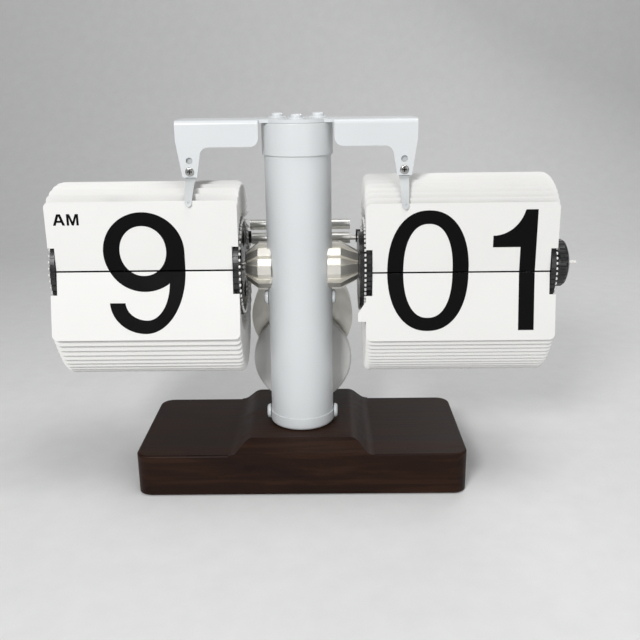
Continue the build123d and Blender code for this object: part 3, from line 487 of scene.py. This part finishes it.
# ================================================================ spring fingers
FINGER_T = 0.0005
FINGER_BEND_Z = 0.2000      # where the straight root ends
FINGER_LEAD = 0.001         # straight stretch just above the bend
FINGER_TOUCH = 0.0035       # how far the tip reaches below the card's top edge
FINGER_OFF = 0.0011         # from the card's hinge plane to the middle of the leaf's tip
FINGER_BOW = 0.6            # how much sooner than a straight line the leaf comes forward
FINGER_STEPS = 24
TIP_HALF = 0.00185
TIP_ROUND_FROM = 0.88       # share of the bent stretch after which the tip is rounded
TIP_FLAT = 0.12             # width left at the very end, as a share
DIMPLE_R = 0.0008
DIMPLE_ROW = -5             # row of the path that the dimple sits on
DIMPLE_SINK = FINGER_T * 0.4
DIMPLE_FLATNESS = 0.6


def finger_path(low, high, drum):
    """Y, Z and half width of the leaf from its root at the claw to its tip at the front card."""
    root_half = (high[0] - low[0]) / 2
    seat_y = high[1] - FINGER_T / 2
    flip_pin = pin_place(drum, 0)
    tip_y, tip_z = flip_pin[0] - FINGER_OFF, flip_pin[1] + CARD_L - FINGER_TOUCH
    path = [(seat_y, high[2], root_half), (seat_y, FINGER_BEND_Z + FINGER_LEAD, root_half)]
    for step in range(1, FINGER_STEPS + 1):
        part = step / FINGER_STEPS
        ease = part * (1 + FINGER_BOW - FINGER_BOW * part)
        z = FINGER_BEND_Z + (tip_z - FINGER_BEND_Z) * part
        into_tip = max(0.0, (part - TIP_ROUND_FROM) / (1 - TIP_ROUND_FROM))
        rounding = max(TIP_FLAT, math.sqrt(max(0.0, 1 - into_tip ** 2)))
        half = (root_half + (TIP_HALF - root_half) * part) * rounding
        path.append((seat_y + (tip_y - seat_y) * ease, z, half))
    return path


def spring_finger(name, drum):
    """The leaf that hangs from a claw and presses on the front card's face, with a dimple near its tip."""
    low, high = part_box(name)
    middle_x = (low[0] + high[0]) / 2
    path = finger_path(low, high, drum)
    shape = bmesh.new()
    rows = []
    for index, (y, z, half) in enumerate(path):
        before, after = path[max(0, index - 1)], path[min(len(path) - 1, index + 1)]
        along = Vector((0, after[0] - before[0], after[1] - before[1])).normalized()
        out = Vector((0, along.z, -along.y)) * (FINGER_T / 2)
        ring = []
        for side, face in ((-1, 1), (1, 1), (1, -1), (-1, -1)):
            ring.append(shape.verts.new(Vector((middle_x + side * half, y, z)) + out * face))
        rows.append(ring)
    for first, second in zip(rows, rows[1:]):
        for corner in range(4):
            beside = (corner + 1) % 4
            shape.faces.new((first[corner], first[beside], second[beside], second[corner]))
    shape.faces.new(rows[0])
    shape.faces.new(reversed(rows[-1]))
    y, z, _ = path[DIMPLE_ROW]
    dimple = Matrix.Translation((middle_x, y - DIMPLE_SINK, z)) @ Matrix.Diagonal((1, DIMPLE_FLATNESS, 1, 1))
    bmesh.ops.create_uvsphere(shape, u_segments=16, v_segments=10, radius=DIMPLE_R, matrix=dimple)
    bmesh.ops.recalc_face_normals(shape, faces=shape.faces)
    mesh = bpy.data.meshes.new(f"{name}_leaf")
    shape.to_mesh(mesh)
    shape.free()
    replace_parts(piece(f"{name}_leaf", mesh, "stand", leaf_grey), name)


CROSS_LENGTH, CROSS_WIDTH = 1.06, 0.2   # shares of the screw head's radius
CROSS_DEPTH = 0.00048                   # below the top of the head
CROSS_T = 0.00008


def screw_cross_shade():
    """Painted shade: a black sheet at the floor of the cross recess in both finger screws, standing in for
    the recess's shade.
    """
    low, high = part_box("finger_screws")
    centre_z = (low[2] + high[2]) / 2
    head_r = (high[2] - low[2]) / 2
    recess_shade = bmesh.new()
    for centre_x in (low[0] + head_r, high[0] - head_r):
        for size_x, size_z in ((CROSS_LENGTH, CROSS_WIDTH), (CROSS_WIDTH, CROSS_LENGTH)):
            size = Matrix.Diagonal((head_r * size_x, CROSS_T, head_r * size_z, 1))
            place = Matrix.Translation((centre_x, low[1] + CROSS_DEPTH, centre_z)) @ size
            bmesh.ops.create_cube(recess_shade, size=1.0, matrix=place)
    mesh = bpy.data.meshes.new("finger_screw_cross_shade")
    recess_shade.to_mesh(mesh)
    recess_shade.free()
    # The black ink here is painted shade, not print
    piece("finger_screw_cross_shade", mesh, "stand", ink)


spring_finger("hour_finger", "hour")
spring_finger("minute_finger", "minute")
screw_cross_shade()


# ================================================================ studio
def area_light(name, place, target, size, power):
    """A soft rectangular white light aimed at a point."""
    data = bpy.data.lights.new(name, "AREA")
    data.shape = "RECTANGLE"
    data.size, data.size_y = size
    data.energy = power
    lamp = bpy.data.objects.new(name, data)
    lamp.location = place
    lamp.rotation_euler = (Vector(target) - Vector(place)).to_track_quat("-Z", "Y").to_euler()
    bpy.context.collection.objects.link(lamp)


def floor():
    """A pale sweep: a floor that curves up into a wall behind the clock."""
    front_y, wall_y, wall_top = -6.0, 1.2, 3.0
    bend_r, bend_steps = 0.5, 12
    half_width = 6.0
    profile = [(front_y, 0.0), (wall_y - bend_r, 0.0)]
    for step in range(1, bend_steps + 1):
        angle = math.pi / 2 * step / bend_steps
        profile.append((wall_y - bend_r + bend_r * math.sin(angle), bend_r - bend_r * math.cos(angle)))
    profile.append((wall_y, wall_top))
    verts = [(side * half_width, y, z) for y, z in profile for side in (-1, 1)]
    faces = [(2 * i, 2 * i + 1, 2 * i + 3, 2 * i + 2) for i in range(len(profile) - 1)]
    mesh = bpy.data.meshes.new("studio_sweep")
    mesh.from_pydata(verts, [], faces)
    for face in mesh.polygons:
        face.use_smooth = True
    sweep = bpy.data.objects.new("studio_sweep", mesh)
    bpy.context.collection.objects.link(sweep)
    mesh.materials.append(plain("studio_floor", (0.78, 0.78, 0.775), 0.6, fleck=0.02))


floor()
CLOCK_MIDDLE = (0, 0, 0.12)
CLOCK_DRUMS = (0, 0, 0.15)
area_light("key", place=(-0.35, -1.0, 0.75), target=CLOCK_MIDDLE, size=(0.3, 0.25), power=8.5)
area_light("top", place=(0.2, -0.15, 1.15), target=CLOCK_MIDDLE, size=(0.6, 0.5), power=4)
area_light("front_fill", place=(0.6, -1.1, 0.4), target=CLOCK_MIDDLE, size=(0.5, 0.5), power=1.8)
area_light("back_rim", place=(0.5, 0.8, 0.75), target=CLOCK_DRUMS, size=(0.6, 0.4), power=2)

bpy.context.scene.view_settings.view_transform = "Standard"
world = bpy.data.worlds.new("studio")
bpy.context.scene.world = world
world.use_nodes = True
sky = world.node_tree.nodes["Background"]
sky.inputs["Color"].default_value = (0.96, 0.97, 1.0, 1)
sky.inputs["Strength"].default_value = 0.22

# ================================================================ camera
CAMERA_PLACE = Vector((0.0174, -0.4937, 0.2553))
CAMERA_PITCH = math.radians(16.936)
CAMERA_YAW = math.radians(-0.565)
CAMERA_ROLL = math.radians(0.717)
CAMERA_LENS = 44.217

camera_data = bpy.data.cameras.new("camera")
camera_data.lens = CAMERA_LENS
camera_data.sensor_width = 36.0
camera = bpy.data.objects.new("camera", camera_data)
ahead = Vector((
    math.sin(CAMERA_YAW) * math.cos(CAMERA_PITCH),
    math.cos(CAMERA_YAW) * math.cos(CAMERA_PITCH),
    -math.sin(CAMERA_PITCH),
))
level_right = Vector((math.cos(CAMERA_YAW), -math.sin(CAMERA_YAW), 0))
level_up = level_right.cross(ahead)
right = math.cos(CAMERA_ROLL) * level_right - math.sin(CAMERA_ROLL) * level_up
up = math.sin(CAMERA_ROLL) * level_right + math.cos(CAMERA_ROLL) * level_up
turn = Matrix((right, up, -ahead)).transposed().to_4x4()
camera.matrix_world = Matrix.Translation(CAMERA_PLACE) @ turn
bpy.context.collection.objects.link(camera)
bpy.context.scene.camera = camera
